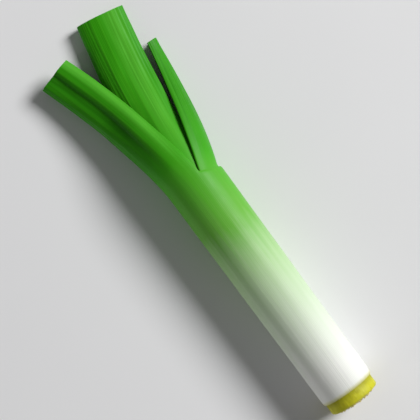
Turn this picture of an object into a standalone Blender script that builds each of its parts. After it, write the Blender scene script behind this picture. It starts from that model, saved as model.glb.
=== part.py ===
"""A trimmed leek lying on its side: three leaves on a root plate.

The shaft runs along +X from the root plate to the cut leaf ends. A leek's shaft is nothing but its
leaves' sheaths, one inside the other, so each leaf is one piece from the root plate to its cut end.
A leaf's cross-section is an arc of an ellipse, given by an angle that is 0 at the leaf's keel. The arc
is a closed ring in the sheath, opens at the mouth, and flattens into a folded blade. Successive leaves
have their keels on opposite sides of the shaft. Lengths are in metres and angles in radians.
"""

import math
from dataclasses import dataclass

import bmesh
import bpy
from mathutils import Vector

# Driving dimensions
SHAFT_RADIUS_AT_ROOT = 0.0203
SHAFT_RADIUS_AT_MOUTH = 0.0216
MOUTH_X = 0.1910  # lowest point of the outer leaf's mouth
PLATE_THICKNESS = 0.0110
PLATE_RADIUS = 0.0190
PLATE_DOME = 0.0022  # how far the trimmed root face bulges
PRESSED_FLAT = 0.00065  # how far the shaft's underside is pressed flat by its own weight
WALL_AT_ROOT = 0.0026
WALL_AT_MOUTH = 0.0011
BLADE_THICKNESS = 0.0013
CLEARANCE = 0.0003  # between one piece and the next
CLEARANCE_AT_MOUTH = 0.00045  # the sheaths are looser there

# Derived sizes
NEXT_LEAF_AT_ROOT = WALL_AT_ROOT + CLEARANCE
NEXT_LEAF_AT_MOUTH = WALL_AT_MOUTH + CLEARANCE_AT_MOUTH
SHEATH_START_X = PLATE_THICKNESS + CLEARANCE

# Mesh resolution
COLUMNS = 32
RIM_ROWS = 4
BLADE_ROWS = 14
STALK_ROWS = 20
STALK_BACK_COLUMNS = 12
BASE_ROUNDING = 0.0030
STRAIGHT_END_X = MOUTH_X - 0.008  # the sheaths run straight up to here
STRAIGHT_STATIONS = (SHEATH_START_X, SHEATH_START_X + BASE_ROUNDING, STRAIGHT_END_X)


@dataclass
class Leaf:
    """One leaf. Positions are along X, and the tip sizes are those of the cut end."""

    name: str
    keel_side: int  # +1 for a keel on the +Y side, -1 on the -Y side
    layer: int  # how many sheaths lie outside it
    foot_x: float  # where the blade's margins start
    tip_x: float
    lean: float  # sideways slope away from the shaft's line, towards +Y
    bend: float  # sideways curvature, per metre
    tip_half_width: float
    tip_half_height: float
    tip_height: float
    rim_angle: float  # from keel to margin at the foot of the blade
    tip_angle: float  # from keel to margin at the cut end
    flattening_length: float
    cut_skew: float  # how far the cut slants from square, as a slope
    colour: tuple
    own_mouth_x: float = MOUTH_X  # lowest point of this leaf's mouth, opposite its keel


OUTER_LEAF = Leaf(
    name="outer_leaf",
    keel_side=1,
    layer=0,
    foot_x=0.1965,
    tip_x=0.3149,
    lean=0.088,
    bend=1.08,
    tip_half_width=0.0228,
    tip_half_height=0.0098,
    tip_height=0.0098,
    rim_angle=math.radians(109),
    tip_angle=math.radians(103),
    flattening_length=0.124,
    cut_skew=0.09,
    colour=(0.045, 0.27, 0.02),
)
SIDE_LEAF = Leaf(
    name="side_leaf",
    keel_side=-1,
    layer=1,
    foot_x=0.1955,
    tip_x=0.2922,
    lean=-0.435,
    bend=1.12,
    tip_half_width=0.0080,
    tip_half_height=0.0065,
    tip_height=0.0065,
    rim_angle=math.radians(71),
    tip_angle=math.radians(82),
    flattening_length=0.108,
    cut_skew=-0.22,
    colour=(0.07, 0.36, 0.03),
    own_mouth_x=MOUTH_X - 0.005,
)
INNER_LEAF = Leaf(
    name="inner_leaf",
    keel_side=1,
    layer=2,
    foot_x=MOUTH_X,
    tip_x=0.3276,
    lean=-0.02,
    bend=-0.82,
    tip_half_width=0.0201,
    tip_half_height=0.0074,
    tip_height=0.0074,
    rim_angle=math.radians(150),
    tip_angle=math.radians(147),
    flattening_length=0.092,
    cut_skew=-0.05,
    colour=(0.05, 0.31, 0.02),
)
KNEE_X = 0.1930  # where the leaves start to lean apart and to flatten
KNEE_LENGTH = 0.005
GROOVE_START_X = 0.1840  # where the inner leaf's solid stalk starts to open
GROOVE_LENGTH = 0.070


def mix(a, b, share):
    return a + (b - a) * share


def smooth(share):
    """0 below 0, 1 above 1, and an S-curve between."""
    share = min(max(share, 0.0), 1.0)
    return share * share * (3 - 2 * share)


def sheath_radius(leaf, x):
    """Outer radius of the leaf's sheath, which is the shaft's radius less the sheaths outside it."""
    share = min(x / MOUTH_X, 1.0)
    at_root = SHAFT_RADIUS_AT_ROOT - leaf.layer * NEXT_LEAF_AT_ROOT
    at_mouth = SHAFT_RADIUS_AT_MOUTH - leaf.layer * NEXT_LEAF_AT_MOUTH
    rounding = max(0.0, 1 - (x - SHEATH_START_X) / BASE_ROUNDING)
    return mix(at_root, at_mouth, share) - 0.0006 * rounding * rounding


def wall_thickness(x):
    if x < MOUTH_X:
        return mix(WALL_AT_ROOT, WALL_AT_MOUTH, x / MOUTH_X)
    return mix(WALL_AT_MOUTH, BLADE_THICKNESS, smooth((x - MOUTH_X) / 0.02))


def half_sizes(leaf, x):
    """Half-width and half-height of the ellipse that the cross-section follows."""
    radius = sheath_radius(leaf, x)
    flattened = smooth((x - KNEE_X) / leaf.flattening_length)
    return mix(radius, leaf.tip_half_width, flattened), mix(radius, leaf.tip_half_height, flattened)


def centre_line(leaf, x):
    """Centre of the cross-section at x, and the direction in which the leaf heads there."""
    above = max(0.0, x - KNEE_X)
    reach = math.hypot(above, KNEE_LENGTH)
    y = leaf.lean * (reach - KNEE_LENGTH) + leaf.bend * above * above
    slope = leaf.lean * above / reach + 2 * leaf.bend * above
    settled = smooth(above / (leaf.tip_x - KNEE_X))
    shaft_height = sheath_radius(OUTER_LEAF, x) - PRESSED_FLAT
    return Vector((x, y, mix(shaft_height, leaf.tip_height, settled))), math.atan(slope)


def section_point(leaf, x, angle, inset=0.0):
    """Point of the cross-section at x, that far inside the leaf's outer surface."""
    half_width, half_height = half_sizes(leaf, x)
    centre, heading = centre_line(leaf, x)
    sideways = leaf.keel_side * (half_width - inset) * math.cos(angle)
    along = leaf.cut_skew * sideways * smooth((x - KNEE_X) / leaf.flattening_length)
    point = centre + Vector((
        along * math.cos(heading) - sideways * math.sin(heading),
        along * math.sin(heading) + sideways * math.cos(heading),
        (half_height - inset) * math.sin(angle),
    ))
    point.z = max(point.z, 0.0)
    return point


def rim_x(leaf, angle):
    """Where the sheath ends at that angle. Within the blade's margins that is the blade's foot."""
    round_back = max(0.0, (abs(angle) - leaf.rim_angle) / (math.pi - leaf.rim_angle))
    return mix(leaf.own_mouth_x, leaf.foot_x, (1 - round_back) ** 2)


def skin_points(leaf, places, depth):
    """Points at the (x, angle) places of the outer skin (depth 0) or the inner one (depth 1)."""
    return [section_point(leaf, x, angle, depth * wall_thickness(x)) for x, angle in places]


def tubular_leaf(leaf):
    """A leaf with a hollow sheath. An outer and an inner skin are joined at the base, rim and margins."""
    front = 2 * round(COLUMNS * leaf.rim_angle / math.pi / 2)
    back = COLUMNS - front
    angles = [mix(-leaf.rim_angle, leaf.rim_angle, j / front) for j in range(front + 1)]
    angles += [mix(leaf.rim_angle, 2 * math.pi - leaf.rim_angle, j / back) for j in range(1, back)]
    angles = [angle if angle <= math.pi else angle - 2 * math.pi for angle in angles]
    places = [(x, angle) for x in STRAIGHT_STATIONS for angle in angles]
    for i in range(1, RIM_ROWS + 1):
        places += [(mix(STRAIGHT_END_X, rim_x(leaf, a), i / RIM_ROWS), a) for a in angles]
    for i in range(1, BLADE_ROWS + 1):
        share = i / BLADE_ROWS
        margin = mix(leaf.rim_angle, leaf.tip_angle, share)
        for j in range(front + 1):
            places.append((mix(leaf.foot_x, leaf.tip_x, share), mix(-margin, margin, j / front)))
    points = skin_points(leaf, places, 0) + skin_points(leaf, places, 1)

    rim = (len(STRAIGHT_STATIONS) + RIM_ROWS - 1) * COLUMNS
    blade_start = rim + COLUMNS
    blade_rows = [rim] + [blade_start + i * (front + 1) for i in range(BLADE_ROWS)]
    skin = []
    for low in range(0, rim, COLUMNS):
        high = low + COLUMNS
        for j in range(COLUMNS):
            k = (j + 1) % COLUMNS
            skin.append([low + j, low + k, high + k, high + j])
    for low, high in zip(blade_rows, blade_rows[1:]):
        for j in range(front):
            skin.append([low + j, low + j + 1, high + j + 1, high + j])
    edges = [[j, (j + 1) % COLUMNS] for j in range(COLUMNS)]
    edges += [[rim + (j + 1) % COLUMNS, rim + j] for j in range(front, COLUMNS)]
    edges += [[high, low] for low, high in zip(blade_rows, blade_rows[1:])]
    edges += [[low + front, high + front] for low, high in zip(blade_rows, blade_rows[1:])]
    edges += [[blade_rows[-1] + j + 1, blade_rows[-1] + j] for j in range(front)]
    inner = len(places)
    faces = skin + [[inner + v for v in reversed(face)] for face in skin]
    faces += [[b, a, inner + a, inner + b] for a, b in edges]
    return points, faces


def stalked_leaf(leaf):
    """The innermost leaf: a solid stalk whose back opens into a groove, and the groove into a folded blade."""
    points = []
    loops = []
    stations = [mix(STRAIGHT_END_X, leaf.tip_x, i / STALK_ROWS) for i in range(1, STALK_ROWS + 1)]
    for x in [*STRAIGHT_STATIONS, *stations]:
        share = smooth((x - KNEE_X) / (leaf.tip_x - KNEE_X))
        margin = mix(leaf.rim_angle, leaf.tip_angle, share)
        opened = smooth((x - GROOVE_START_X) / GROOVE_LENGTH)
        loop = [section_point(leaf, x, mix(-margin, margin, j / COLUMNS)) for j in range(COLUMNS + 1)]
        for j in range(1, STALK_BACK_COLUMNS):
            across = j / STALK_BACK_COLUMNS
            back = section_point(leaf, x, mix(margin, 2 * math.pi - margin, across))
            lining = section_point(leaf, x, mix(margin, -margin, across), BLADE_THICKNESS)
            loop.append(back.lerp(lining, opened))
        first = len(points)
        points.extend(loop)
        loops.append(range(first, len(points)))
    faces = [list(loops[0])[::-1], list(loops[-1])]
    count = len(loops[0])
    for low, high in zip(loops, loops[1:]):
        for j in range(count):
            k = (j + 1) % count
            faces.append([low[j], low[k], high[k], high[j]])
    return points, faces


def root_plate():
    """The short disc of true stem, with its trimmed root face bulging towards -X."""
    centre_height = SHAFT_RADIUS_AT_ROOT - PRESSED_FLAT
    corner = 0.0016
    profile = [(PLATE_DOME * (1 - math.cos(a)), math.sin(a)) for a in (0.5, 1.0, 1.3)]
    dome_radius = PLATE_RADIUS - corner
    profile = [(x, dome_radius * r / math.sin(1.3)) for x, r in profile]
    profile += [(PLATE_DOME + corner, PLATE_RADIUS), (PLATE_THICKNESS, PLATE_RADIUS)]
    points = [Vector((0, 0, centre_height))]
    faces = []
    for x, radius in profile:
        for j in range(COLUMNS):
            angle = 2 * math.pi * j / COLUMNS
            points.append(Vector((x, radius * math.cos(angle), centre_height + radius * math.sin(angle))))
    for j in range(COLUMNS):
        k = (j + 1) % COLUMNS
        faces.append([0, 1 + j, 1 + k])
        for i in range(len(profile) - 1):
            low = 1 + i * COLUMNS
            high = low + COLUMNS
            faces.append([low + j, high + j, high + k, low + k])
    last = 1 + (len(profile) - 1) * COLUMNS
    faces.append([last + j for j in range(COLUMNS)])
    return points, faces


def add_piece(name, points, faces, colour, roughness):
    mesh = bpy.data.meshes.new(name)
    mesh.from_pydata(points, [], faces)
    shell = bmesh.new()
    shell.from_mesh(mesh)
    bmesh.ops.recalc_face_normals(shell, faces=shell.faces)
    shell.to_mesh(mesh)
    shell.free()
    mesh.shade_smooth()
    mesh.set_sharp_from_angle(angle=math.radians(40))
    material = bpy.data.materials.new(name)
    material.use_nodes = True
    shader = material.node_tree.nodes["Principled BSDF"]
    shader.inputs["Base Color"].default_value = (*colour, 1)
    shader.inputs["Roughness"].default_value = roughness
    mesh.materials.append(material)
    piece = bpy.data.objects.new(name, mesh)
    bpy.context.scene.collection.objects.link(piece)
    return piece


def stand_on_origin(pieces):
    """Moves the leek so that the origin is under the middle of its bounding box."""
    corners = [vertex.co for piece in pieces for vertex in piece.data.vertices]
    lowest = Vector([min(c[i] for c in corners) for i in range(3)])
    highest = Vector([max(c[i] for c in corners) for i in range(3)])
    middle = (lowest + highest) / 2
    for piece in pieces:
        piece.location = (-middle.x, -middle.y, -lowest.z)


def main():
    for old in list(bpy.data.objects):
        bpy.data.objects.remove(old)
    pieces = [
        add_piece("root_plate", *root_plate(), (0.62, 0.60, 0.05), 0.55),
        add_piece(OUTER_LEAF.name, *tubular_leaf(OUTER_LEAF), OUTER_LEAF.colour, 0.35),
        add_piece(SIDE_LEAF.name, *tubular_leaf(SIDE_LEAF), SIDE_LEAF.colour, 0.35),
        add_piece(INNER_LEAF.name, *stalked_leaf(INNER_LEAF), INNER_LEAF.colour, 0.35),
    ]
    stand_on_origin(pieces)


main()
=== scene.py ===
"""A trimmed leek lying on a pale floor, seen from above.

A leek's shaft is its leaves' sheaths, one inside the other, on a short disc of stem, the root plate. Each
leaf is a sheet whose cross-section is an arc of an ellipse, given by an angle that is 0 at the keel. The
sheet is a closed ring in the sheath, opens at the mouth, and flattens into a folded blade. Geometry nodes
lay a grid of rows (along the leaf) and columns (round it) on that surface, once for the leaf's outer skin
and once for its inner one, and raise parallel veins on the outer skin. The place of each point along and
round the leaf stays on the mesh as attributes, so that the colours of the materials follow the leaf.
"""

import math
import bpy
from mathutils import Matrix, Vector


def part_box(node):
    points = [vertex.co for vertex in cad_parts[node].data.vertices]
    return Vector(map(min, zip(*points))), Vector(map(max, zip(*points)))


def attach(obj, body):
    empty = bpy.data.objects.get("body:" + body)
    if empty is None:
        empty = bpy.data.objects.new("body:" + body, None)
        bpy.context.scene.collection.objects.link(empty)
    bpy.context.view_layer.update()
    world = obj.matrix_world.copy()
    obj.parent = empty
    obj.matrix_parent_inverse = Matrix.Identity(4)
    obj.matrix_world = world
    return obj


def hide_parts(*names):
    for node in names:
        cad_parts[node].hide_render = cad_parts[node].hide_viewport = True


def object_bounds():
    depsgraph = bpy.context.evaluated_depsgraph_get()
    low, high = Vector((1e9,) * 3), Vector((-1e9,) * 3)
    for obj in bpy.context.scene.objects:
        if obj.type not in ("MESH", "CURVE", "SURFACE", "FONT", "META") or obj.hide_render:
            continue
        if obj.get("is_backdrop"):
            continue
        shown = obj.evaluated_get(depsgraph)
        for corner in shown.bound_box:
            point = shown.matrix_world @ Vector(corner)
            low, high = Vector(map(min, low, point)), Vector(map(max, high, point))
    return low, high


bl_info = {
    "name": "Leek",
    "version": (1, 0, 0),
    "blender": (4, 5, 0),
    "location": "3D View > Sidebar > Leek",
    "description": "Makes a trimmed leek lying on a pale floor",
    "category": "Add Mesh",
}

from types import SimpleNamespace

import bmesh
import bpy
from bpy.props import FloatProperty, FloatVectorProperty, IntProperty, PointerProperty
from bpy.types import Operator, Panel, PropertyGroup
from mathutils import Vector

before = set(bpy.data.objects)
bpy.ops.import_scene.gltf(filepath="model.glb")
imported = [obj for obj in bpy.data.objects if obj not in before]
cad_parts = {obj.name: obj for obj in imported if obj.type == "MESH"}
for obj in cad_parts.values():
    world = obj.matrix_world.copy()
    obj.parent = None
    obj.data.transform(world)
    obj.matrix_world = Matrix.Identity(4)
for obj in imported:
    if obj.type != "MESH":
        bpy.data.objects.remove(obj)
CAD_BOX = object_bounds()
PLATE_LOW, PLATE_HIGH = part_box("root_plate")
PLATE_CENTRE_Y = (PLATE_LOW.y + PLATE_HIGH.y) / 2

GOLDEN_ANGLE = math.pi * (3 - math.sqrt(5))
SHARP_ANGLE = math.radians(50)

# Leaves: the rounding of the edges, and the relief, tight in the shaft and loose above it. Lengths are in
# metres and angles in radians.
BASE_ROUNDING_LENGTH = 0.003
BASE_ROUNDING_DEPTH = 0.0006
MARGIN_ROUNDING = 0.0010
RIM_ROUNDING = 0.0024
EDGE_TOLERANCE = 0.000002
MERGE_DISTANCE = 0.00002
LOOSENING_LENGTH = 0.06
THICKENING_LENGTH = 0.02
TIGHT_SWELL = 0.00035
LOOSE_SWELL = 0.0022
TIGHT_RIPPLE = 0.00012
LOOSE_RIPPLE = 0.0007
KEEL_RIDGE_WIDTH = 0.0022
KEEL_RIDGE_HEIGHT = 0.00045
PLEAT_NEAR_SIDE = math.radians(34)
PLEAT_FAR_SIDE = math.radians(17)
VEIN_DRIFT = 0.28
# Pleat depth at which the painted shade in the pleat is darkest.
PLEAT_DEPTH_FOR_FULL_SHADE = 0.002

# Root plate: the rows where its face, corner, side and back end, its lumps, and the place of its stubs.
FACE_END = 20
CORNER_END = 28
SIDE_END = 38
BACK_END = 44
PLATE_COLUMNS = 128
LUMP_WIDTH = 0.0009
LUMP_HEIGHT = 0.0016
STUB_ROOT_DEPTH = 0.0006
STUB_FREE_BORDER = 0.0030

# Stage
FLOOR_HALF_WIDTH = 8.0
LIGHT_TARGET = (0.0, 0.0, 0.02)
KEY_PLACE = (0.0, -3.19, 2.41)
KEY_SIZE = 1.6
FILL_PLACE = (0.0, 3.2, 0.45)
FILL_SIZE = 0.8


# ---------------------------------------------------------------------------------------------------------
# Settings
# ---------------------------------------------------------------------------------------------------------


def linear(red, green, blue):
    """A colour given as 0 to 255 display values, in the linear values that Blender's sockets hold."""
    channels = [c / 255 for c in (red, green, blue)]
    return [c / 12.92 if c <= 0.04045 else ((c + 0.055) / 1.055) ** 2.4 for c in channels]


def length(name, description, default):
    return FloatProperty(
        name=name, description=description, default=default, precision=5, unit="LENGTH", subtype="DISTANCE"
    )


def angle(name, description, degrees):
    return FloatProperty(
        name=name, description=description, default=math.radians(degrees), unit="ROTATION", subtype="ANGLE"
    )


def ratio(name, description, default):
    return FloatProperty(name=name, description=description, default=default, precision=4)


def power(name, description, default):
    return FloatProperty(name=name, description=description, default=default, unit="POWER")


def count(name, description, default):
    return IntProperty(name=name, description=description, default=default, min=0)


def colour(name, description, red, green, blue):
    return FloatVectorProperty(
        name=name,
        description=description,
        default=linear(red, green, blue),
        size=3,
        min=0.0,
        max=1.0,
        subtype="COLOR",
    )


class LeekShaftSettings(PropertyGroup):
    """Sizes that all the leaves share. Positions run along the shaft from the root plate's end."""

    origin_x: length("Root end", "Where the root plate's end lies in the object's frame", PLATE_LOW.x)
    origin_y: length("Shaft line", "Sideways place of the shaft's centre line", PLATE_CENTRE_Y)
    root_radius: length("Radius at root", "Shaft's radius above the root plate", 0.0203)
    mouth_radius: length("Radius at mouth", "Shaft's radius where the outer leaf opens", 0.0216)
    mouth: length("Mouth", "Lowest point of the outer leaf's mouth", 0.1910)
    start: length("Sheath start", "Where the sheaths rise from the root plate", 0.0113)
    knee: length("Knee", "Where the leaves start to lean apart", 0.1930)
    knee_length: length("Knee length", "How softly the leaves start to lean", 0.005)
    turning_length: length("Turning length", "How softly the rows of faces turn to follow the lean", 0.012)
    pressed: length("Pressed flat", "How far the underside is pressed flat by the leek's weight", 0.00065)
    wall_at_root: length("Wall at root", "Thickness of a sheath at the root plate", 0.0026)
    wall_at_mouth: length("Wall at mouth", "Thickness of a sheath at the mouth", 0.0011)
    blade_thickness: length("Blade thickness", "Thickness of the green blades", 0.0013)
    gap_at_root: length("Gap at root", "Space between two sheaths at the root plate", 0.0003)
    gap_at_mouth: length("Gap at mouth", "Space between two sheaths at the mouth", 0.00045)
    vein_count: count("Veins", "Parallel veins round one leaf", 124)
    vein_height: length("Vein height", "How far the veins stand out of the skin", 0.00007)


LEAF_PROPERTIES = {
    "keel_side": (ratio, "Keel side", "1 for a keel on the +Y side, -1 for the other side"),
    "layer": (ratio, "Layer", "How many sheaths lie outside this one"),
    "own_mouth": (length, "Own mouth", "Lowest point of this leaf's mouth"),
    "foot": (length, "Foot", "Where the blade's margins start"),
    "tip": (length, "Cut end", "Where the blade is cut off"),
    "lean": (ratio, "Lean", "Sideways slope away from the shaft"),
    "bend": (ratio, "Bend", "Sideways curvature, per metre"),
    "tip_half_width": (length, "Half width", "Half the fold's width at the cut end"),
    "tip_half_height": (length, "Half height", "Half the fold's height at the cut end"),
    "tip_height": (length, "Centre height", "Height of the fold's centre at the cut end"),
    "rim_angle": (angle, "Foot angle", "From keel to margin at the foot of the blade"),
    "tip_angle": (angle, "Cut end angle", "From keel to margin at the cut end"),
    "flattening": (length, "Flattening", "Length over which the tube flattens"),
    "cut_skew": (ratio, "Cut skew", "Slope of the cut from square"),
    "solid_until": (length, "Solid until", "Where a solid stalk opens; 0 for a hollow sheath"),
    "opening": (length, "Opening", "Length over which a solid stalk opens"),
    "pleat_angle": (angle, "Pleat angle", "From keel to the pleat along the upper side"),
    "pleat_depth": (length, "Pleat depth", "Depth of the pleat along the upper side"),
    "margin_roll": (length, "Margin roll", "How far the margins roll down"),
    "roll_angle": (angle, "Roll angle", "How far round the margins roll"),
    # The next two place a painted highlight: a lighter green band along the blade's upper side.
    "streak_angle": (angle, "Streak angle", "From keel to the paler streak on the upper side"),
    "streak_width": (angle, "Streak width", "How far round the paler streak fades out"),
    "dark_green": (ratio, "Dark green", "How much of the blade is a darker green"),
    "sheath_rows": (count, "Sheath rows", "Rows of faces along the sheath"),
    "blade_rows": (count, "Blade rows", "Rows of faces along the blade"),
    "front_columns": (count, "Front columns", "Columns of faces that run on into the blade"),
    "back_columns": (count, "Back columns", "Columns of faces that end at the mouth"),
}


def leaf_properties(**defaults):
    """The properties that every leaf has, with one leaf's own defaults."""
    properties = {}
    for key, (make_property, name, description) in LEAF_PROPERTIES.items():
        properties[key] = make_property(name, description, defaults[key])
    return properties


class LeekOuterLeafSettings(PropertyGroup):
    """The broad leaf whose sheath is the shaft's outside."""

    __annotations__ = leaf_properties(
        keel_side=1,
        layer=0,
        own_mouth=0.1910,
        foot=0.1965,
        tip=0.3149,
        lean=0.088,
        bend=1.08,
        tip_half_width=0.0228,
        tip_half_height=0.0098,
        tip_height=0.0098,
        rim_angle=109,
        tip_angle=103,
        flattening=0.124,
        cut_skew=0.09,
        solid_until=0.0,
        opening=0.1,
        pleat_angle=59,
        pleat_depth=0.0018,
        margin_roll=0.0024,
        roll_angle=20,
        streak_angle=97,
        streak_width=16,
        dark_green=0.30,
        sheath_rows=34,
        blade_rows=56,
        front_columns=300,
        back_columns=196,
    )


class LeekSideLeafSettings(PropertyGroup):
    """The narrow, tapering leaf."""

    __annotations__ = leaf_properties(
        keel_side=-1,
        layer=1,
        own_mouth=0.1860,
        foot=0.1955,
        tip=0.2922,
        lean=-0.435,
        bend=1.12,
        tip_half_width=0.0080,
        tip_half_height=0.0065,
        tip_height=0.0065,
        rim_angle=71,
        tip_angle=82,
        flattening=0.108,
        cut_skew=-0.22,
        solid_until=0.0,
        opening=0.1,
        pleat_angle=60,
        pleat_depth=0.0,
        margin_roll=0.0,
        roll_angle=20,
        streak_angle=112,
        streak_width=18,
        dark_green=0.30,
        sheath_rows=24,
        blade_rows=60,
        front_columns=200,
        back_columns=60,
    )


class LeekInnerLeafSettings(PropertyGroup):
    """The broad middle leaf, whose rolled sheath fills the shaft."""

    __annotations__ = leaf_properties(
        keel_side=1,
        layer=2,
        own_mouth=0.1910,
        foot=0.1910,
        tip=0.3276,
        lean=-0.02,
        bend=-0.82,
        tip_half_width=0.0201,
        tip_half_height=0.0074,
        tip_height=0.0074,
        rim_angle=150,
        tip_angle=147,
        flattening=0.092,
        cut_skew=-0.05,
        solid_until=0.1840,
        opening=0.070,
        pleat_angle=60,
        pleat_depth=0.0,
        margin_roll=0.0006,
        roll_angle=45,
        streak_angle=108,
        streak_width=30,
        dark_green=0.11,
        sheath_rows=20,
        blade_rows=64,
        front_columns=410,
        back_columns=0,
    )


class LeekPlateSettings(PropertyGroup):
    """The disc of true stem that the leaves grow from, and what is left of the roots."""

    radius: length("Radius", "Radius of the root plate", 0.0190)
    thickness: length("Thickness", "Length of the root plate along the shaft", 0.0112)
    dome: length("Dome", "How far the trimmed root face bulges", 0.0022)
    corner: length("Corner", "Roundness of the plate's edge", 0.0018)
    stub_count: count("Root stubs", "How many cut roots show on the root face", 90)
    stub_radius: length("Stub radius", "Radius of a cut root", 0.0009)
    stub_length: length("Stub length", "How far a cut root stands out", 0.0007)


class LeekSkinSettings(PropertyGroup):
    """Colours along the leaves, and the relief of their skin."""

    white: colour("Blanched", "The blanched part of the shaft", 230, 231, 226)
    pale: colour("Pale green", "Half way up the shaft", 170, 204, 150)
    collar: colour("Collar green", "The yellow-green just below the mouth", 106, 175, 66)
    blade: colour("Blade green", "The blades above the mouth", 62, 162, 22)
    blade_end: colour("Blade end", "The blades at their cut ends", 56, 160, 14)
    cut: colour("Cut flesh", "The pale flesh of the cut ends", 176, 214, 120)
    plate: colour("Root plate", "The root plate's skin", 192, 190, 34)
    plate_flesh: colour("Root face", "The trimmed root face", 206, 196, 108)
    roughness: ratio("Roughness", "Roughness of the waxy skin", 0.42)


class LeekStageSettings(PropertyGroup):
    """The floor, the lights and the camera."""

    floor: colour("Floor", "The pale floor", 234, 234, 235)
    key: power("Key light", "Power of the main light", 184.0)
    fill: power("Fill light", "Power of the low light opposite", 18.0)
    ambient: ratio("Ambient", "Strength of the even light from all round", 0.13)
    focal_length: FloatProperty(
        name="Focal length",
        description="The camera's lens",
        default=135.0,
        unit="CAMERA",
        subtype="DISTANCE_CAMERA",
    )
    view_width: length("View width", "What the view spans at the leek's middle height", 0.2957)
    view_x: length("View centre X", "Point of the leek in the view's middle", 0.0047)
    view_y: length("View centre Y", "Point of the leek in the view's middle", -0.0019)
    roll: angle("Roll", "Direction of the view's right side, from +X", 233.6)


# ---------------------------------------------------------------------------------------------------------
# Node arithmetic
# ---------------------------------------------------------------------------------------------------------


class Signal:
    """An output socket of a node tree. Python's operators on it add Math nodes to the tree."""

    def __init__(self, graph, socket):
        self.graph = graph
        self.socket = socket

    def output(self, name):
        """Another output of the same node."""
        return Signal(self.graph, find_socket(self.socket.node.outputs, name))

    def __add__(self, other):
        return self.graph.math("ADD", self, other)

    def __sub__(self, other):
        return self.graph.math("SUBTRACT", self, other)

    def __mul__(self, other):
        return self.graph.math("MULTIPLY", self, other)

    def __truediv__(self, other):
        return self.graph.math("DIVIDE", self, other)

    def __pow__(self, other):
        return self.graph.math("POWER", self, other)

    def __radd__(self, other):
        return self.graph.math("ADD", other, self)

    def __rsub__(self, other):
        return self.graph.math("SUBTRACT", other, self)

    def __rmul__(self, other):
        return self.graph.math("MULTIPLY", other, self)

    def __rtruediv__(self, other):
        return self.graph.math("DIVIDE", other, self)

    def __abs__(self):
        return self.graph.math("ABSOLUTE", self)

    def __gt__(self, other):
        return self.graph.math("GREATER_THAN", self, other)

    def __lt__(self, other):
        return self.graph.math("LESS_THAN", self, other)


def find_socket(sockets, name):
    for socket in sockets:
        if socket.enabled and name in (socket.name, socket.identifier):
            return socket
    raise KeyError(f"no socket {name} among {[s.name for s in sockets if s.enabled]}")


class Graph:
    """A node tree, with short ways to add nodes to it."""

    def __init__(self, tree):
        self.tree = tree

    def add(self, kind, inputs=(), **settings):
        """Adds a node. Its settings come first, then its inputs, as {name or number: value or Signal}."""
        node = self.tree.nodes.new(kind)
        for name, value in settings.items():
            if name == "stops":
                self.set_stops(node.color_ramp, value)
            else:
                setattr(node, name, value)
        for name, value in dict(inputs).items():
            self.feed(node.inputs[name] if isinstance(name, int) else find_socket(node.inputs, name), value)
        outputs = [socket for socket in node.outputs if socket.enabled]
        return Signal(self, outputs[0]) if outputs else node

    def feed(self, socket, value):
        if isinstance(value, Signal):
            self.tree.links.new(value.socket, socket)
        elif isinstance(value, (list, tuple)) and value and isinstance(value[0], Signal):
            for signal in value:
                self.tree.links.new(signal.socket, socket)
        else:
            socket.default_value = value

    @staticmethod
    def set_stops(ramp, stops):
        while len(ramp.elements) < len(stops):
            ramp.elements.new(1.0)
        for element, (position, stop_colour) in zip(ramp.elements, stops):
            element.position = position
            element.color = (*stop_colour, 1.0)

    def math(self, operation, *values):
        return self.add("ShaderNodeMath", dict(enumerate(values)), operation=operation)

    def smallest(self, *values):
        result = values[0]
        for value in values[1:]:
            result = self.math("MINIMUM", result, value)
        return result

    def largest(self, a, b):
        return self.math("MAXIMUM", a, b)

    def root(self, value):
        return self.math("SQRT", value)

    def share(self, value, low, high, interpolation="LINEAR"):
        """Where the value lies between low and high, as 0 to 1 and no further."""
        return self.add(
            "ShaderNodeMapRange",
            {"Value": value, "From Min": low, "From Max": high},
            interpolation_type=interpolation,
        )

    def smooth(self, value, low, high):
        """The same share, with a soft start and a soft end."""
        return self.share(value, low, high, "SMOOTHSTEP")

    def vector(self, x, y, z=0.0):
        return self.add("ShaderNodeCombineXYZ", {"X": x, "Y": y, "Z": z})

    def blend_vectors(self, a, b, factor):
        return self.add("ShaderNodeMix", {"Factor": factor, "A": a, "B": b}, data_type="VECTOR")

    def blend_colours(self, a, b, factor):
        a, b = (c if isinstance(c, Signal) else (*c, 1.0) for c in (a, b))
        return self.add("ShaderNodeMix", {"Factor": factor, "A": a, "B": b}, data_type="RGBA")

    def noise(self, place, scale=1.0, detail=2.0, roughness=0.5):
        """Smooth noise from 0 to 1."""
        inputs = {"Vector": place, "Scale": scale, "Detail": detail, "Roughness": roughness}
        return self.add("ShaderNodeTexNoise", inputs)

    def attribute(self, name):
        """A value that the piece's own mesh holds, in a material."""
        return self.add("ShaderNodeAttribute", attribute_name=name).output("Fac")

    def stored(self, name):
        """A value that the mesh holds, in geometry nodes."""
        return self.add("GeometryNodeInputNamedAttribute", {"Name": name}, data_type="FLOAT")

    def store(self, geometry, name, value, domain="POINT", data_type="FLOAT"):
        inputs = {"Geometry": geometry, "Name": name, "Value": value}
        return self.add("GeometryNodeStoreNamedAttribute", inputs, data_type=data_type, domain=domain)


def mix(a, b, share):
    return a + (b - a) * share


def geometry_graph(name, *groups):
    """A geometry node tree, and its named inputs, one for each value in the settings groups."""
    tree = bpy.data.node_groups.new(name, "GeometryNodeTree")
    tree.interface.new_socket("Geometry", in_out="OUTPUT", socket_type="NodeSocketGeometry")
    graph = Graph(tree)
    source = tree.nodes.new("NodeGroupInput")
    sizes = SimpleNamespace()
    for group in groups:
        for key in group.__annotations__:
            value = getattr(group, key)
            kind = "NodeSocketInt" if isinstance(value, int) else "NodeSocketFloat"
            label = group.bl_rna.properties[key].name
            tree.interface.new_socket(label, in_out="INPUT", socket_type=kind).default_value = value
            setattr(sizes, key, Signal(graph, source.outputs[len(source.outputs) - 2]))
    return graph, sizes


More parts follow.
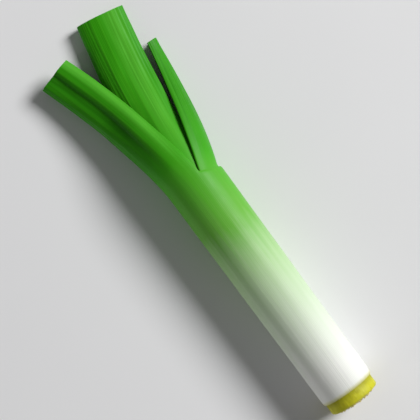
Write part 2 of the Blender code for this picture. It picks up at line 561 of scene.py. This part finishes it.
def lay_grid(graph, rows, columns):
    """A grid whose points hold their row, from 0, and their side, from -1 to 1."""
    grid_inputs = {"Size X": 1.0, "Size Y": 1.0, "Vertices X": rows + 1, "Vertices Y": columns + 1}
    grid = graph.add("GeometryNodeMeshGrid", grid_inputs)
    place = graph.add("ShaderNodeSeparateXYZ", {"Vector": graph.add("GeometryNodeInputPosition")})
    grid = graph.store(grid, "row", (place + 0.5) * rows)
    grid = graph.store(grid, "side", place.output("Y") * 2)
    return grid, graph.stored("row"), graph.stored("side")


def finish_tree(graph, geometry, material):
    """Ends a tree in plain, smooth geometry with its material."""
    geometry = graph.add("GeometryNodeRealizeInstances", {"Geometry": geometry})
    geometry = graph.add("GeometryNodeSetMaterial", {"Geometry": geometry, "Material": material})
    output = graph.tree.nodes.new("NodeGroupOutput")
    graph.feed(output.inputs[0], geometry)


def bake_piece(name, graph, groups):
    """Runs the tree on a new object, and returns the result as a plain, closed mesh object."""
    carrier = bpy.data.objects.new(name + "_carrier", bpy.data.meshes.new(name + "_carrier"))
    bpy.context.scene.collection.objects.link(carrier)
    modifier = carrier.modifiers.new("Shape", "NODES")
    modifier.node_group = graph.tree
    sockets = [s for s in graph.tree.interface.items_tree if s.in_out == "INPUT"]
    values = [getattr(group, key) for group in groups for key in group.__annotations__]
    for socket, value in zip(sockets, values):
        modifier[socket.identifier] = value
    evaluated = carrier.evaluated_get(bpy.context.evaluated_depsgraph_get())
    mesh = bpy.data.meshes.new_from_object(evaluated)
    bpy.data.objects.remove(carrier)
    mesh.name = name
    shell = bmesh.new()
    shell.from_mesh(mesh)
    bmesh.ops.recalc_face_normals(shell, faces=shell.faces)
    open_edges = sum(1 for edge in shell.edges if not edge.is_manifold)
    shell.to_mesh(mesh)
    shell.free()
    if open_edges:
        raise RuntimeError(f"{name} has {open_edges} open edges")
    mesh.shade_smooth()
    mesh.set_sharp_from_angle(angle=SHARP_ANGLE)
    piece = bpy.data.objects.new(name, mesh)
    bpy.context.scene.collection.objects.link(piece)
    return piece


def place_piece(piece, node):
    """Puts the finished piece in the frame, in place of the CAD node."""
    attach(piece, "root")
    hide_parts(node)


# ---------------------------------------------------------------------------------------------------------
# The leaves' shape
# ---------------------------------------------------------------------------------------------------------


class LeafShape:
    """The rule of one leaf's surface, as arithmetic on the tree's inputs."""

    def __init__(self, graph, size, x):
        self.graph = graph
        self.size = size
        self.x = x
        up_the_shaft = graph.share(x, 0.0, size.mouth)
        thickened = graph.smooth(x, size.mouth, size.mouth + THICKENING_LENGTH)
        self.wall = mix(size.wall_at_root, size.wall_at_mouth, up_the_shaft)
        self.wall += (size.blade_thickness - size.wall_at_mouth) * thickened
        rounding = 1 - graph.share(x, size.start, size.start + BASE_ROUNDING_LENGTH)
        shaft_radius = mix(size.root_radius, size.mouth_radius, up_the_shaft)
        shaft_radius -= BASE_ROUNDING_DEPTH * rounding * rounding
        next_at_root = size.wall_at_root + size.gap_at_root
        next_at_mouth = size.wall_at_mouth + size.gap_at_mouth
        radius = shaft_radius - size.layer * mix(next_at_root, next_at_mouth, up_the_shaft)
        self.flattened = graph.smooth(x, size.knee, size.knee + size.flattening)
        self.half_width = mix(radius, size.tip_half_width, self.flattened)
        self.half_height = mix(radius, size.tip_half_height, self.flattened)

        above = graph.largest(x - size.knee, 0.0)
        reach = graph.root(above * above + size.knee_length * size.knee_length)
        self.centre_y = size.lean * (reach - size.knee_length) + size.bend * above * above
        # The rows turn more slowly than the centre line, so that they don't cross inside the bend.
        turning = graph.root(above * above + size.turning_length * size.turning_length)
        slope = size.lean * above / turning + 2 * size.bend * above
        self.heading_cos = 1 / graph.root(1 + slope * slope)
        self.heading_sin = slope * self.heading_cos
        settled = graph.smooth(x, size.knee, size.tip)
        self.centre_z = mix(shaft_radius - size.pressed, size.tip_height, settled)

    def point(self, turn, inset, shrink):
        """Point of the cross-section at the angle `turn` from the keel, that deep inside the outer skin."""
        size = self.size
        cosine = self.graph.math("COSINE", turn)
        sine = self.graph.math("SINE", turn)
        sideways = size.keel_side * (self.half_width - inset) * cosine * shrink
        along = size.cut_skew * sideways * self.flattened
        height = self.centre_z + (self.half_height - inset) * sine * shrink
        return self.graph.vector(
            size.origin_x + self.x + along * self.heading_cos - sideways * self.heading_sin,
            size.origin_y + self.centre_y + along * self.heading_sin + sideways * self.heading_cos,
            self.graph.largest(height, 0.0),
        )


def lay_leaf_grid(graph, size):
    """The leaf's grid. In the blade it has only the front columns, whose outermost ones are the margins."""
    columns = size.front_columns + size.back_columns
    grid, row, side = lay_grid(graph, size.sheath_rows + size.blade_rows, columns)
    front = size.front_columns / columns
    behind = (abs(side) > front) * (row > size.sheath_rows)
    cut_inputs = {"Geometry": grid, "Selection": behind > 0.5}
    grid = graph.add("GeometryNodeDeleteGeometry", cut_inputs, domain="FACE")
    return grid, row, side, front


class LeafPlace:
    """Where the grid's points lie along and round the leaf."""

    def __init__(self, graph, size, row, side, front):
        # Rows: the first two lie at the root plate and the last two at the cut, so that the ends are flat.
        rows = size.sheath_rows + size.blade_rows
        up_sheath = graph.share(row, 1.0, size.sheath_rows)
        up_sheath = 0.5 - 0.5 * graph.math("COSINE", math.pi * up_sheath)
        up_blade = graph.share(row, size.sheath_rows, rows - 1)
        across_front = graph.math("MINIMUM", abs(side) / front, 1.0)
        across_back = graph.largest(abs(side) - front, 0.0) / graph.largest(1 - front, 0.0001)
        self.rim = mix(size.own_mouth, size.foot, (1 - across_back) * (1 - across_back))
        self.x = mix(size.start, self.rim, up_sheath) + (size.tip - size.foot) * up_blade
        self.at_root = row < 0.5
        self.in_sheath = row < size.sheath_rows - 0.5
        self.at_cut = row > rows - 1
        self.between_ends = (row > 0.5) * (row < rows - 0.5)

        # Columns: angles from the keel. The angle `around` stays the same along a column, and `turn` doesn't.
        sign = graph.math("SIGN", side)
        self.margin = mix(size.rim_angle, size.tip_angle, up_blade)
        self.turn_size = across_front * self.margin + across_back * (math.pi - size.rim_angle)
        self.turn = self.turn_size * sign
        self.cosine = graph.math("COSINE", self.turn)
        self.sine = graph.math("SINE", self.turn)
        self.back_turn = self.margin + (math.pi - self.margin) * (1 - side)
        self.around = (across_front * size.rim_angle + across_back * (math.pi - size.rim_angle)) * sign
        self.ring_x = graph.math("COSINE", self.around)
        self.ring_y = graph.math("SINE", self.around)


def wall_fullness(graph, size, place, shape, hollow):
    """How full the wall is: 0 at the leaf's edges, where the two skins meet, and 1 away from them."""
    arc_radius = graph.root((shape.half_width * place.sine) ** 2 + (shape.half_height * place.cosine) ** 2)
    from_margin = (place.margin - place.turn_size) * arc_radius
    has_margin = 1 - hollow * place.in_sheath
    margin_fullness = mix(1.0, graph.share(from_margin, EDGE_TOLERANCE, MARGIN_ROUNDING), has_margin)
    below_rim = place.rim - place.x
    beside_rim = graph.largest(size.rim_angle - place.turn_size, 0.0) * shape.half_height
    from_rim = graph.root(below_rim * below_rim + beside_rim * beside_rim)
    rim_fullness = mix(1.0, graph.share(from_rim, EDGE_TOLERANCE, RIM_ROUNDING), hollow)
    fullness = graph.smallest(margin_fullness, rim_fullness, place.between_ends)
    return graph.root(1 - (1 - fullness) * (1 - fullness))


def leaf_pleat(graph, size, turn):
    """The pleat along the leaf's upper side: 1 at its bottom."""
    pleat = graph.smooth(turn, size.pleat_angle - PLEAT_NEAR_SIDE, size.pleat_angle)
    return pleat * (1 - graph.smooth(turn, size.pleat_angle, size.pleat_angle + PLEAT_FAR_SIDE))


def leaf_relief(graph, size, place, shape, pleat, loose):
    """How far the skin stands out: swells, ripples, the keel's ridge, less the pleat and rolled margins."""
    swell_place = graph.vector(place.x * 22, place.cosine * 1.4, place.sine * 1.4 + size.layer * 5.3)
    swell = (graph.noise(swell_place, detail=1.0) - 0.5) * mix(TIGHT_SWELL, LOOSE_SWELL, loose)
    ripple_place = graph.vector(place.x * 6, place.cosine * 7, place.sine * 7 + size.layer * 3.1)
    ripple = (graph.noise(ripple_place, detail=1.0) - 0.5) * mix(TIGHT_RIPPLE, LOOSE_RIPPLE, loose)
    ridge = graph.share(place.turn_size * shape.half_height, KEEL_RIDGE_WIDTH, 0.0)
    roll = graph.smooth(place.turn_size, place.margin - size.roll_angle, place.margin)
    sunk = (pleat * size.pleat_depth + roll * size.margin_roll) * loose
    return swell + ripple + ridge * KEEL_RIDGE_HEIGHT * loose - sunk


def leaf_veins(graph, size, place):
    """Parallel veins, some stronger than others, at a spacing that drifts: 1 on a strong vein's crest."""
    drift_place = graph.vector(place.ring_x * 1.5, place.ring_y * 1.5, place.x * 3)
    drift = (graph.noise(drift_place, detail=1.0) - 0.5) * VEIN_DRIFT
    wave = graph.math("SINE", (place.around + drift) * size.vein_count)
    strength_place = graph.vector(place.ring_x * 7, place.ring_y * 7, place.x * 5)
    strong = graph.share(graph.noise(strength_place, detail=1.0), 0.3, 0.7)
    return graph.smooth(wave, -0.3, 1.0) * strong


def join_skins(graph, grid, outer, inner):
    """Moves one copy of the grid to each skin, and joins the two at the leaf's edges."""
    skins = []
    for is_inner, position in ((0.0, outer), (1.0, inner)):
        skin = graph.store(grid, "inner", is_inner)
        skin = graph.add("GeometryNodeSetPosition", {"Geometry": skin, "Position": position})
        skins.append(graph.add("GeometryNodeFlipFaces", {"Mesh": skin}) if is_inner else skin)
    leaf = graph.add("GeometryNodeJoinGeometry", {"Geometry": skins})
    on_edge = graph.add("GeometryNodeInputMeshEdgeNeighbors") < 2
    on_edge = graph.add("GeometryNodeFieldOnDomain", {"Value": on_edge}, domain="EDGE", data_type="BOOLEAN")
    merge_inputs = {"Geometry": leaf, "Selection": on_edge, "Distance": MERGE_DISTANCE}
    return graph.add("GeometryNodeMergeByDistance", merge_inputs)


def leaf_tree(name, settings, material):
    """A leaf as a closed skin: its outer and inner side, joined where the wall thins out at every edge."""
    graph, size = geometry_graph(name, *settings)
    grid, row, side, front = lay_leaf_grid(graph, size)
    place = LeafPlace(graph, size, row, side, front)
    shape = LeafShape(graph, size, place.x)
    hollow = size.solid_until < 0.001
    loose = graph.smooth(place.x, size.knee, size.knee + LOOSENING_LENGTH)
    pleat = leaf_pleat(graph, size, place.turn)
    vein = leaf_veins(graph, size, place)
    fullness = wall_fullness(graph, size, place, shape, hollow)

    # The two skins. A solid stalk's inner skin is its own back, and turns into the fold's lining as it opens.
    opened = mix(graph.smooth(place.x, size.solid_until, size.solid_until + size.opening), 1.0, hollow)
    edge_depth = shape.wall * 0.5 * (1 - fullness) * opened
    skin_inset = edge_depth - leaf_relief(graph, size, place, shape, pleat, loose)
    outer_inset = skin_inset - vein * size.vein_height * fullness
    inner_inset = skin_inset + shape.wall * fullness
    shrink = 1 - place.at_root * (1 - hollow)
    outer = shape.point(place.turn, outer_inset, shrink)
    lining = shape.point(place.turn, inner_inset, shrink)
    back = shape.point(place.back_turn, skin_inset, shrink)
    inner = graph.blend_vectors(back, lining, opened)

    # What the materials read.
    ring = graph.vector(place.ring_x, place.ring_y)
    # A painted highlight: a lighter green band along the blade's upper side, stored as pale below.
    painted_highlight = graph.smooth(abs(place.turn - size.streak_angle), size.streak_width, 0.0)
    grid = graph.store(grid, "along", place.x)
    # Painted shade in the pleat, stored as fold: the deeper the pleat, the darker its green.
    grid = graph.store(grid, "fold", pleat * loose * size.pleat_depth / PLEAT_DEPTH_FOR_FULL_SHADE)
    grid = graph.store(grid, "ring", ring, data_type="FLOAT_VECTOR")
    grid = graph.store(grid, "vein", vein)
    grid = graph.store(grid, "pale", painted_highlight * loose)
    grid = graph.store(grid, "cut", place.at_cut, "FACE")
    finish_tree(graph, join_skins(graph, grid, outer, inner), material)
    return graph


# ---------------------------------------------------------------------------------------------------------
# Materials
# ---------------------------------------------------------------------------------------------------------

# Shades that the main colours in the settings are blended with.
VEIN_SHADOW = linear(30, 110, 10)
PALE_VEIN = linear(196, 222, 160)
FRESH_GREEN = linear(96, 190, 40)
# Dark green for the leaves' own darker tone, and for the painted shade in the pleat.
DARK_GREEN_AND_SHADE = linear(20, 84, 2)
# Lighter green of the painted highlight along the blades' upper side.
PAINTED_HIGHLIGHT_GREEN = linear(98, 190, 58)
LINING_GREEN = linear(120, 196, 70)
BASE_YELLOW = linear(184, 180, 50)
BUNDLE_GREEN = linear(120, 176, 70)
CREAM_FLESH = linear(240, 242, 214)
PLATE_MOTTLE = linear(150, 140, 26)
PLATE_FIBRE = linear(222, 216, 84)
PLATE_SHADE = linear(140, 138, 30)
STUB_TAN = linear(206, 186, 120)

# The leaf's colours follow one another over this length from the root end, at these shares of it.
COLOUR_LENGTH = 0.32
PALE_AT = 0.375
COLLAR_AT = 0.485
BLADE_AT = 0.66
WHITE_UNTIL = 0.10

# Distances from the root end over which the leaf turns green and then dark, and its yellow foot fades out.
TURNS_GREEN = (0.09, 0.20)
TURNS_DARK = (0.195, 0.24)
YELLOW_FADES = (0.0108, 0.0150)

# How far streaks and clouds shift those places.
STREAK_CREEP = 0.022
CLOUD_CREEP = 0.016

# The same for the root plate: where its pale face fades out and its shaded back sets in.
FACE_FADES = (0.0008, 0.0040)
SHADE_SETS_IN = (0.0060, 0.0112)

# Heights of the finest relief, which the materials add.
BLOOM_RELIEF = 0.00005
STREAK_RELIEF = 0.00008
FIBRE_RELIEF = 0.00022
MOTTLE_RELIEF = 0.00025


def material_graph(name):
    material = bpy.data.materials.new(name)
    material.use_nodes = True
    graph = Graph(material.node_tree)
    return material, graph, material.node_tree.nodes["Principled BSDF"]


def leaf_material(name, skin, dark_green):
    """Waxy leaf skin: blanched at the root, green at the blade, with fine parallel veins and streaks, painted
    shade in the pleat and a painted highlight along the blade's upper side.
    """
    material, graph, shader = material_graph(name)
    along = graph.attribute("along")
    ring = graph.add("ShaderNodeSeparateXYZ", {"Vector": graph.attribute("ring").output("Vector")})
    inner = graph.attribute("inner")
    cut = graph.attribute("cut")
    vein = graph.attribute("vein")
    position = graph.add("ShaderNodeTexCoord").output("Object")

    streaks = graph.noise(graph.vector(ring * 9, ring.output("Y") * 9, along * 9), detail=3.0, roughness=0.6)
    clouds = graph.noise(position, scale=38.0, detail=3.0)
    creeping = along + (streaks - 0.5) * STREAK_CREEP + (clouds - 0.5) * CLOUD_CREEP
    stops = [
        (WHITE_UNTIL, skin.white),
        (PALE_AT, skin.pale),
        (COLLAR_AT, skin.collar),
        (BLADE_AT, skin.blade),
        (1.0, skin.blade_end),
    ]
    base = graph.add("ShaderNodeValToRGB", {"Fac": graph.share(creeping, 0.0, COLOUR_LENGTH)}, stops=stops)

    greenness = graph.smooth(creeping, *TURNS_GREEN)
    surface = graph.blend_colours(base, VEIN_SHADOW, (1 - vein) * 0.08 * greenness)
    surface = graph.blend_colours(surface, PALE_VEIN, vein * 0.09 * (1 - greenness))
    fresh = graph.share(streaks, 0.45, 0.9) * 0.4 * greenness
    surface = graph.blend_colours(surface, FRESH_GREEN, fresh)
    # Darker green: the leaf's own tone and clouds, plus painted shade in the pleat read from fold.
    tone_and_pleat_shade = dark_green + graph.share(clouds, 0.45, 0.9) * 0.2 + graph.attribute("fold") * 0.45
    surface = graph.blend_colours(surface, DARK_GREEN_AND_SHADE, tone_and_pleat_shade * graph.smooth(creeping, *TURNS_DARK))
    # Painted highlight: a lighter green band along the blade's upper side, read from pale.
    surface = graph.blend_colours(surface, PAINTED_HIGHLIGHT_GREEN, graph.attribute("pale") * 0.5)
    surface = graph.blend_colours(surface, LINING_GREEN, inner * 0.35 * greenness)
    near_plate = 1 - graph.smooth(along + (streaks - 0.5) * 0.002, *YELLOW_FADES)
    surface = graph.blend_colours(surface, BASE_YELLOW, near_plate * 0.8)

    bundles = graph.add("ShaderNodeTexVoronoi", {"Vector": position, "Scale": 900.0})
    flesh = graph.blend_colours(skin.cut, BUNDLE_GREEN, graph.share(bundles, 0.55, 0.2))
    flesh = graph.blend_colours(CREAM_FLESH, flesh, greenness)
    graph.feed(shader.inputs["Base Color"], graph.blend_colours(surface, flesh, cut))

    bloom = graph.noise(position, scale=95.0, detail=4.0, roughness=0.65)
    roughness = skin.roughness + (bloom - 0.5) * 0.22 + cut * 0.15
    graph.feed(shader.inputs["Roughness"], roughness)
    shader.inputs["Specular IOR Level"].default_value = 0.12
    relief = (bloom - 0.5) * BLOOM_RELIEF + streaks * STREAK_RELIEF
    bump = graph.add("ShaderNodeBump", {"Height": relief, "Distance": 1.0, "Strength": 0.7})
    graph.feed(shader.inputs["Normal"], bump)
    return material


def plate_material(skin):
    """Fibrous yellow root plate with a paler trimmed face."""
    material, graph, shader = material_graph("root plate")
    along = graph.attribute("along")
    stub = graph.attribute("stub")
    position = graph.add("ShaderNodeTexCoord").output("Object")
    parts = graph.add("ShaderNodeSeparateXYZ", {"Vector": position})
    stretched = graph.vector(parts * 160, parts.output("Y") * 900, parts.output("Z") * 900)
    fibres = graph.noise(stretched, detail=4.0, roughness=0.6)
    mottle = graph.noise(position, scale=260.0, detail=3.0)
    face = 1 - graph.smooth(along, *FACE_FADES)
    base = graph.blend_colours(skin.plate, skin.plate_flesh, face * 0.8)
    base = graph.blend_colours(base, PLATE_MOTTLE, graph.share(mottle, 0.52, 0.8) * 0.5)
    base = graph.blend_colours(base, PLATE_FIBRE, graph.share(fibres, 0.5, 0.75) * 0.3)
    base = graph.blend_colours(base, PLATE_SHADE, graph.smooth(along, *SHADE_SETS_IN) * 0.6)
    base = graph.blend_colours(base, STUB_TAN, stub * 0.7)
    graph.feed(shader.inputs["Base Color"], base)
    graph.feed(shader.inputs["Roughness"], 0.5 + (mottle - 0.5) * 0.3)
    shader.inputs["Specular IOR Level"].default_value = 0.2
    relief = fibres * FIBRE_RELIEF + mottle * MOTTLE_RELIEF
    graph.feed(shader.inputs["Normal"], graph.add("ShaderNodeBump", {"Height": relief, "Distance": 1.0}))
    return material


def floor_material(stage):
    """Smooth painted board."""
    material, graph, shader = material_graph("pale floor")
    position = graph.add("ShaderNodeTexCoord").output("Object")
    mottle = graph.noise(position, scale=9.0, detail=2.0)
    shade = [c * 0.97 for c in stage.floor]
    graph.feed(shader.inputs["Base Color"], graph.blend_colours(stage.floor, shade, mottle))
    graph.feed(shader.inputs["Roughness"], 0.75 + mottle * 0.1)
    return material


# ---------------------------------------------------------------------------------------------------------
# The root plate's shape
# ---------------------------------------------------------------------------------------------------------


def plate_disc(graph, size, centre_z):
    """A turned disc with a bulging face. Its rows cross the face, the corner, the side and the back."""
    grid, row, side = lay_grid(graph, BACK_END, PLATE_COLUMNS)
    turn = side * math.pi
    cosine = graph.math("COSINE", turn)
    sine = graph.math("SINE", turn)
    over_face = graph.share(row, 0.0, float(FACE_END))
    corner_turn = graph.share(row, float(FACE_END), float(CORNER_END)) * (math.pi / 2)
    over_side = graph.share(row, float(CORNER_END), float(SIDE_END))
    over_back = graph.share(row, float(SIDE_END), float(BACK_END))
    face_radius = size.radius - size.corner
    radius = face_radius * over_face + size.corner * graph.math("SINE", corner_turn) - size.radius * over_back
    x = size.dome * over_face * over_face + size.corner * (1 - graph.math("COSINE", corner_turn))
    x += (size.thickness - size.dome - size.corner) * over_side
    lumps = (graph.noise(graph.vector(cosine, sine, x * 60), scale=3.2, detail=3.0) - 0.5) * (1 - over_back)
    radius += lumps * LUMP_WIDTH * over_face
    x += graph.largest(lumps, 0.0) * LUMP_HEIGHT * over_face * (1 - over_side)
    position = graph.vector(size.origin_x + x, size.origin_y + radius * cosine, centre_z + radius * sine)
    disc = graph.store(grid, "along", x)
    disc = graph.store(disc, "stub", 0.0)
    disc = graph.add("GeometryNodeSetPosition", {"Geometry": disc, "Position": position})
    return graph.add("GeometryNodeMergeByDistance", {"Geometry": disc, "Distance": 0.00001})


def plate_stubs(graph, size, centre_z):
    """Cut root stubs that stand on the disc's face in a spiral, each with a tilt and thickness of its own."""
    index = graph.add("GeometryNodeInputIndex")
    turn = index * GOLDEN_ANGLE
    spread = graph.root((index + 0.5) / size.stub_count)
    radius = spread * (size.radius - STUB_FREE_BORDER)
    place = graph.vector(
        size.origin_x + size.dome * spread * spread + STUB_ROOT_DEPTH,
        size.origin_y + radius * graph.math("COSINE", turn),
        centre_z + radius * graph.math("SINE", turn),
    )
    points = graph.add("GeometryNodePoints", {"Count": size.stub_count, "Position": place})
    stub = graph.add(
        "GeometryNodeMeshCone",
        {
            "Vertices": 9,
            "Side Segments": 2,
            "Fill Segments": 1,
            "Radius Top": size.stub_radius * 0.8,
            "Radius Bottom": size.stub_radius,
            "Depth": size.stub_length + STUB_ROOT_DEPTH,
        },
    )
    tilts = {"Min": (0.0, -1.95, -0.4), "Max": (0.0, -1.2, 0.4), "Seed": 4}
    tilt = graph.add("FunctionNodeRandomValue", tilts, data_type="FLOAT_VECTOR")
    thick = graph.add("FunctionNodeRandomValue", {"Min": 0.55, "Max": 1.15, "Seed": 9})
    stubs = graph.add(
        "GeometryNodeInstanceOnPoints",
        {"Points": points, "Instance": stub, "Rotation": tilt, "Scale": thick},
    )
    stubs = graph.add("GeometryNodeRealizeInstances", {"Geometry": stubs})
    stubs = graph.store(stubs, "along", 0.0)
    return graph.store(stubs, "stub", 1.0)


def plate_tree(settings, material):
    graph, size = geometry_graph("Root plate", *settings)
    centre_z = size.root_radius - size.pressed
    pieces = [plate_disc(graph, size, centre_z), plate_stubs(graph, size, centre_z)]
    finish_tree(graph, graph.add("GeometryNodeJoinGeometry", {"Geometry": pieces}), material)
    return graph


# ---------------------------------------------------------------------------------------------------------
# Operators
# ---------------------------------------------------------------------------------------------------------


def make_leaf(node, settings):
    scene = bpy.context.scene
    groups = (scene.leek_shaft, settings)
    material = leaf_material(node.replace("_", " "), scene.leek_skin, settings.dark_green)
    graph = leaf_tree(node, groups, material)
    place_piece(bake_piece(node + "_skin", graph, groups), node)


class LEEK_OT_outer_leaf(Operator):
    """Make the broad leaf whose sheath is the outside of the shaft"""

    bl_idname = "leek.outer_leaf"
    bl_label = "Outer leaf"

    def execute(self, context):
        make_leaf("outer_leaf", context.scene.leek_outer_leaf)
        return {"FINISHED"}


class LEEK_OT_side_leaf(Operator):
    """Make the narrow, tapering leaf"""

    bl_idname = "leek.side_leaf"
    bl_label = "Side leaf"

    def execute(self, context):
        make_leaf("side_leaf", context.scene.leek_side_leaf)
        return {"FINISHED"}


class LEEK_OT_inner_leaf(Operator):
    """Make the broad middle leaf"""

    bl_idname = "leek.inner_leaf"
    bl_label = "Inner leaf"

    def execute(self, context):
        make_leaf("inner_leaf", context.scene.leek_inner_leaf)
        return {"FINISHED"}


class LEEK_OT_root_plate(Operator):
    """Make the root plate with its cut roots"""

    bl_idname = "leek.root_plate"
    bl_label = "Root plate"

    def execute(self, context):
        scene = context.scene
        groups = (scene.leek_shaft, scene.leek_plate)
        graph = plate_tree(groups, plate_material(scene.leek_skin))
        place_piece(bake_piece("root_plate_skin", graph, groups), "root_plate")
        return {"FINISHED"}


def add_area_light(name, place, size, watts, glossy):
    """A round light aimed at the leek. One that isn't glossy doesn't show in reflections."""
    light = bpy.data.lights.new(name, "AREA")
    light.shape = "DISK"
    light.size = size
    light.energy = watts
    lamp = bpy.data.objects.new(name, light)
    lamp.location = place
    lamp.rotation_euler = (Vector(LIGHT_TARGET) - Vector(place)).to_track_quat("-Z", "Y").to_euler()
    lamp.visible_glossy = glossy
    bpy.context.scene.collection.objects.link(lamp)


class LEEK_OT_stage(Operator):
    """Make the floor, the lights and the camera"""

    bl_idname = "leek.stage"
    bl_label = "Stage"

    def execute(self, context):
        scene = context.scene
        stage = scene.leek_stage
        mesh = bpy.data.meshes.new("floor")
        half = FLOOR_HALF_WIDTH
        corners = [(-half, -half, 0), (half, -half, 0), (half, half, 0), (-half, half, 0)]
        mesh.from_pydata(corners, [], [(0, 1, 2, 3)])
        mesh.materials.append(floor_material(stage))
        floor = bpy.data.objects.new("floor", mesh)
        scene.collection.objects.link(floor)
        floor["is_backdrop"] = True

        add_area_light("key light", KEY_PLACE, KEY_SIZE, stage.key, glossy=True)
        add_area_light("fill light", FILL_PLACE, FILL_SIZE, stage.fill, glossy=False)
        world = bpy.data.worlds.new("studio")
        world.use_nodes = True
        background = world.node_tree.nodes["Background"]
        background.inputs["Color"].default_value = (1.0, 1.0, 1.0, 1.0)
        background.inputs["Strength"].default_value = stage.ambient
        scene.world = world
        scene.view_settings.view_transform = "Standard"

        data = bpy.data.cameras.new("camera")
        data.lens = stage.focal_length
        distance = stage.view_width * data.lens / data.sensor_width
        data.clip_start = distance * 0.1
        data.clip_end = distance * 20
        camera = bpy.data.objects.new("camera", data)
        camera.location = (stage.view_x, stage.view_y, CAD_BOX[1].z / 2 + distance)
        camera.rotation_euler = (0.0, 0.0, stage.roll)
        scene.collection.objects.link(camera)
        scene.camera = camera
        return {"FINISHED"}


class LEEK_PT_panel(Panel):
    """The leek's pieces and their settings"""

    bl_idname = "LEEK_PT_panel"
    bl_label = "Leek"
    bl_space_type = "VIEW_3D"
    bl_region_type = "UI"
    bl_category = "Leek"

    def draw(self, context):
        layout = self.layout
        for operator in OPERATORS:
            layout.operator(operator.bl_idname)
        for name, group in SETTINGS.items():
            box = layout.box()
            box.label(text=group.__doc__.split(".")[0])
            settings = getattr(context.scene, name)
            for key in group.__annotations__:
                box.prop(settings, key)


SETTINGS = {
    "leek_shaft": LeekShaftSettings,
    "leek_outer_leaf": LeekOuterLeafSettings,
    "leek_side_leaf": LeekSideLeafSettings,
    "leek_inner_leaf": LeekInnerLeafSettings,
    "leek_plate": LeekPlateSettings,
    "leek_skin": LeekSkinSettings,
    "leek_stage": LeekStageSettings,
}
OPERATORS = (
    LEEK_OT_root_plate,
    LEEK_OT_outer_leaf,
    LEEK_OT_side_leaf,
    LEEK_OT_inner_leaf,
    LEEK_OT_stage,
)


def register():
    for group in SETTINGS.values():
        bpy.utils.register_class(group)
    for name, group in SETTINGS.items():
        setattr(bpy.types.Scene, name, PointerProperty(type=group))
    for operator in OPERATORS:
        bpy.utils.register_class(operator)
    bpy.utils.register_class(LEEK_PT_panel)


def unregister():
    bpy.utils.unregister_class(LEEK_PT_panel)
    for operator in reversed(OPERATORS):
        bpy.utils.unregister_class(operator)
    for name, group in reversed(SETTINGS.items()):
        delattr(bpy.types.Scene, name)
        bpy.utils.unregister_class(group)


def main():
    register()
    bpy.ops.leek.root_plate()
    bpy.ops.leek.outer_leaf()
    bpy.ops.leek.side_leaf()
    bpy.ops.leek.inner_leaf()
    bpy.ops.leek.stage()
    boxes = {"cad": CAD_BOX, "visual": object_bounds()}
    boxes = {name: [list(corner) for corner in box] for name, box in boxes.items()}


if __name__ == "__main__":
    main()
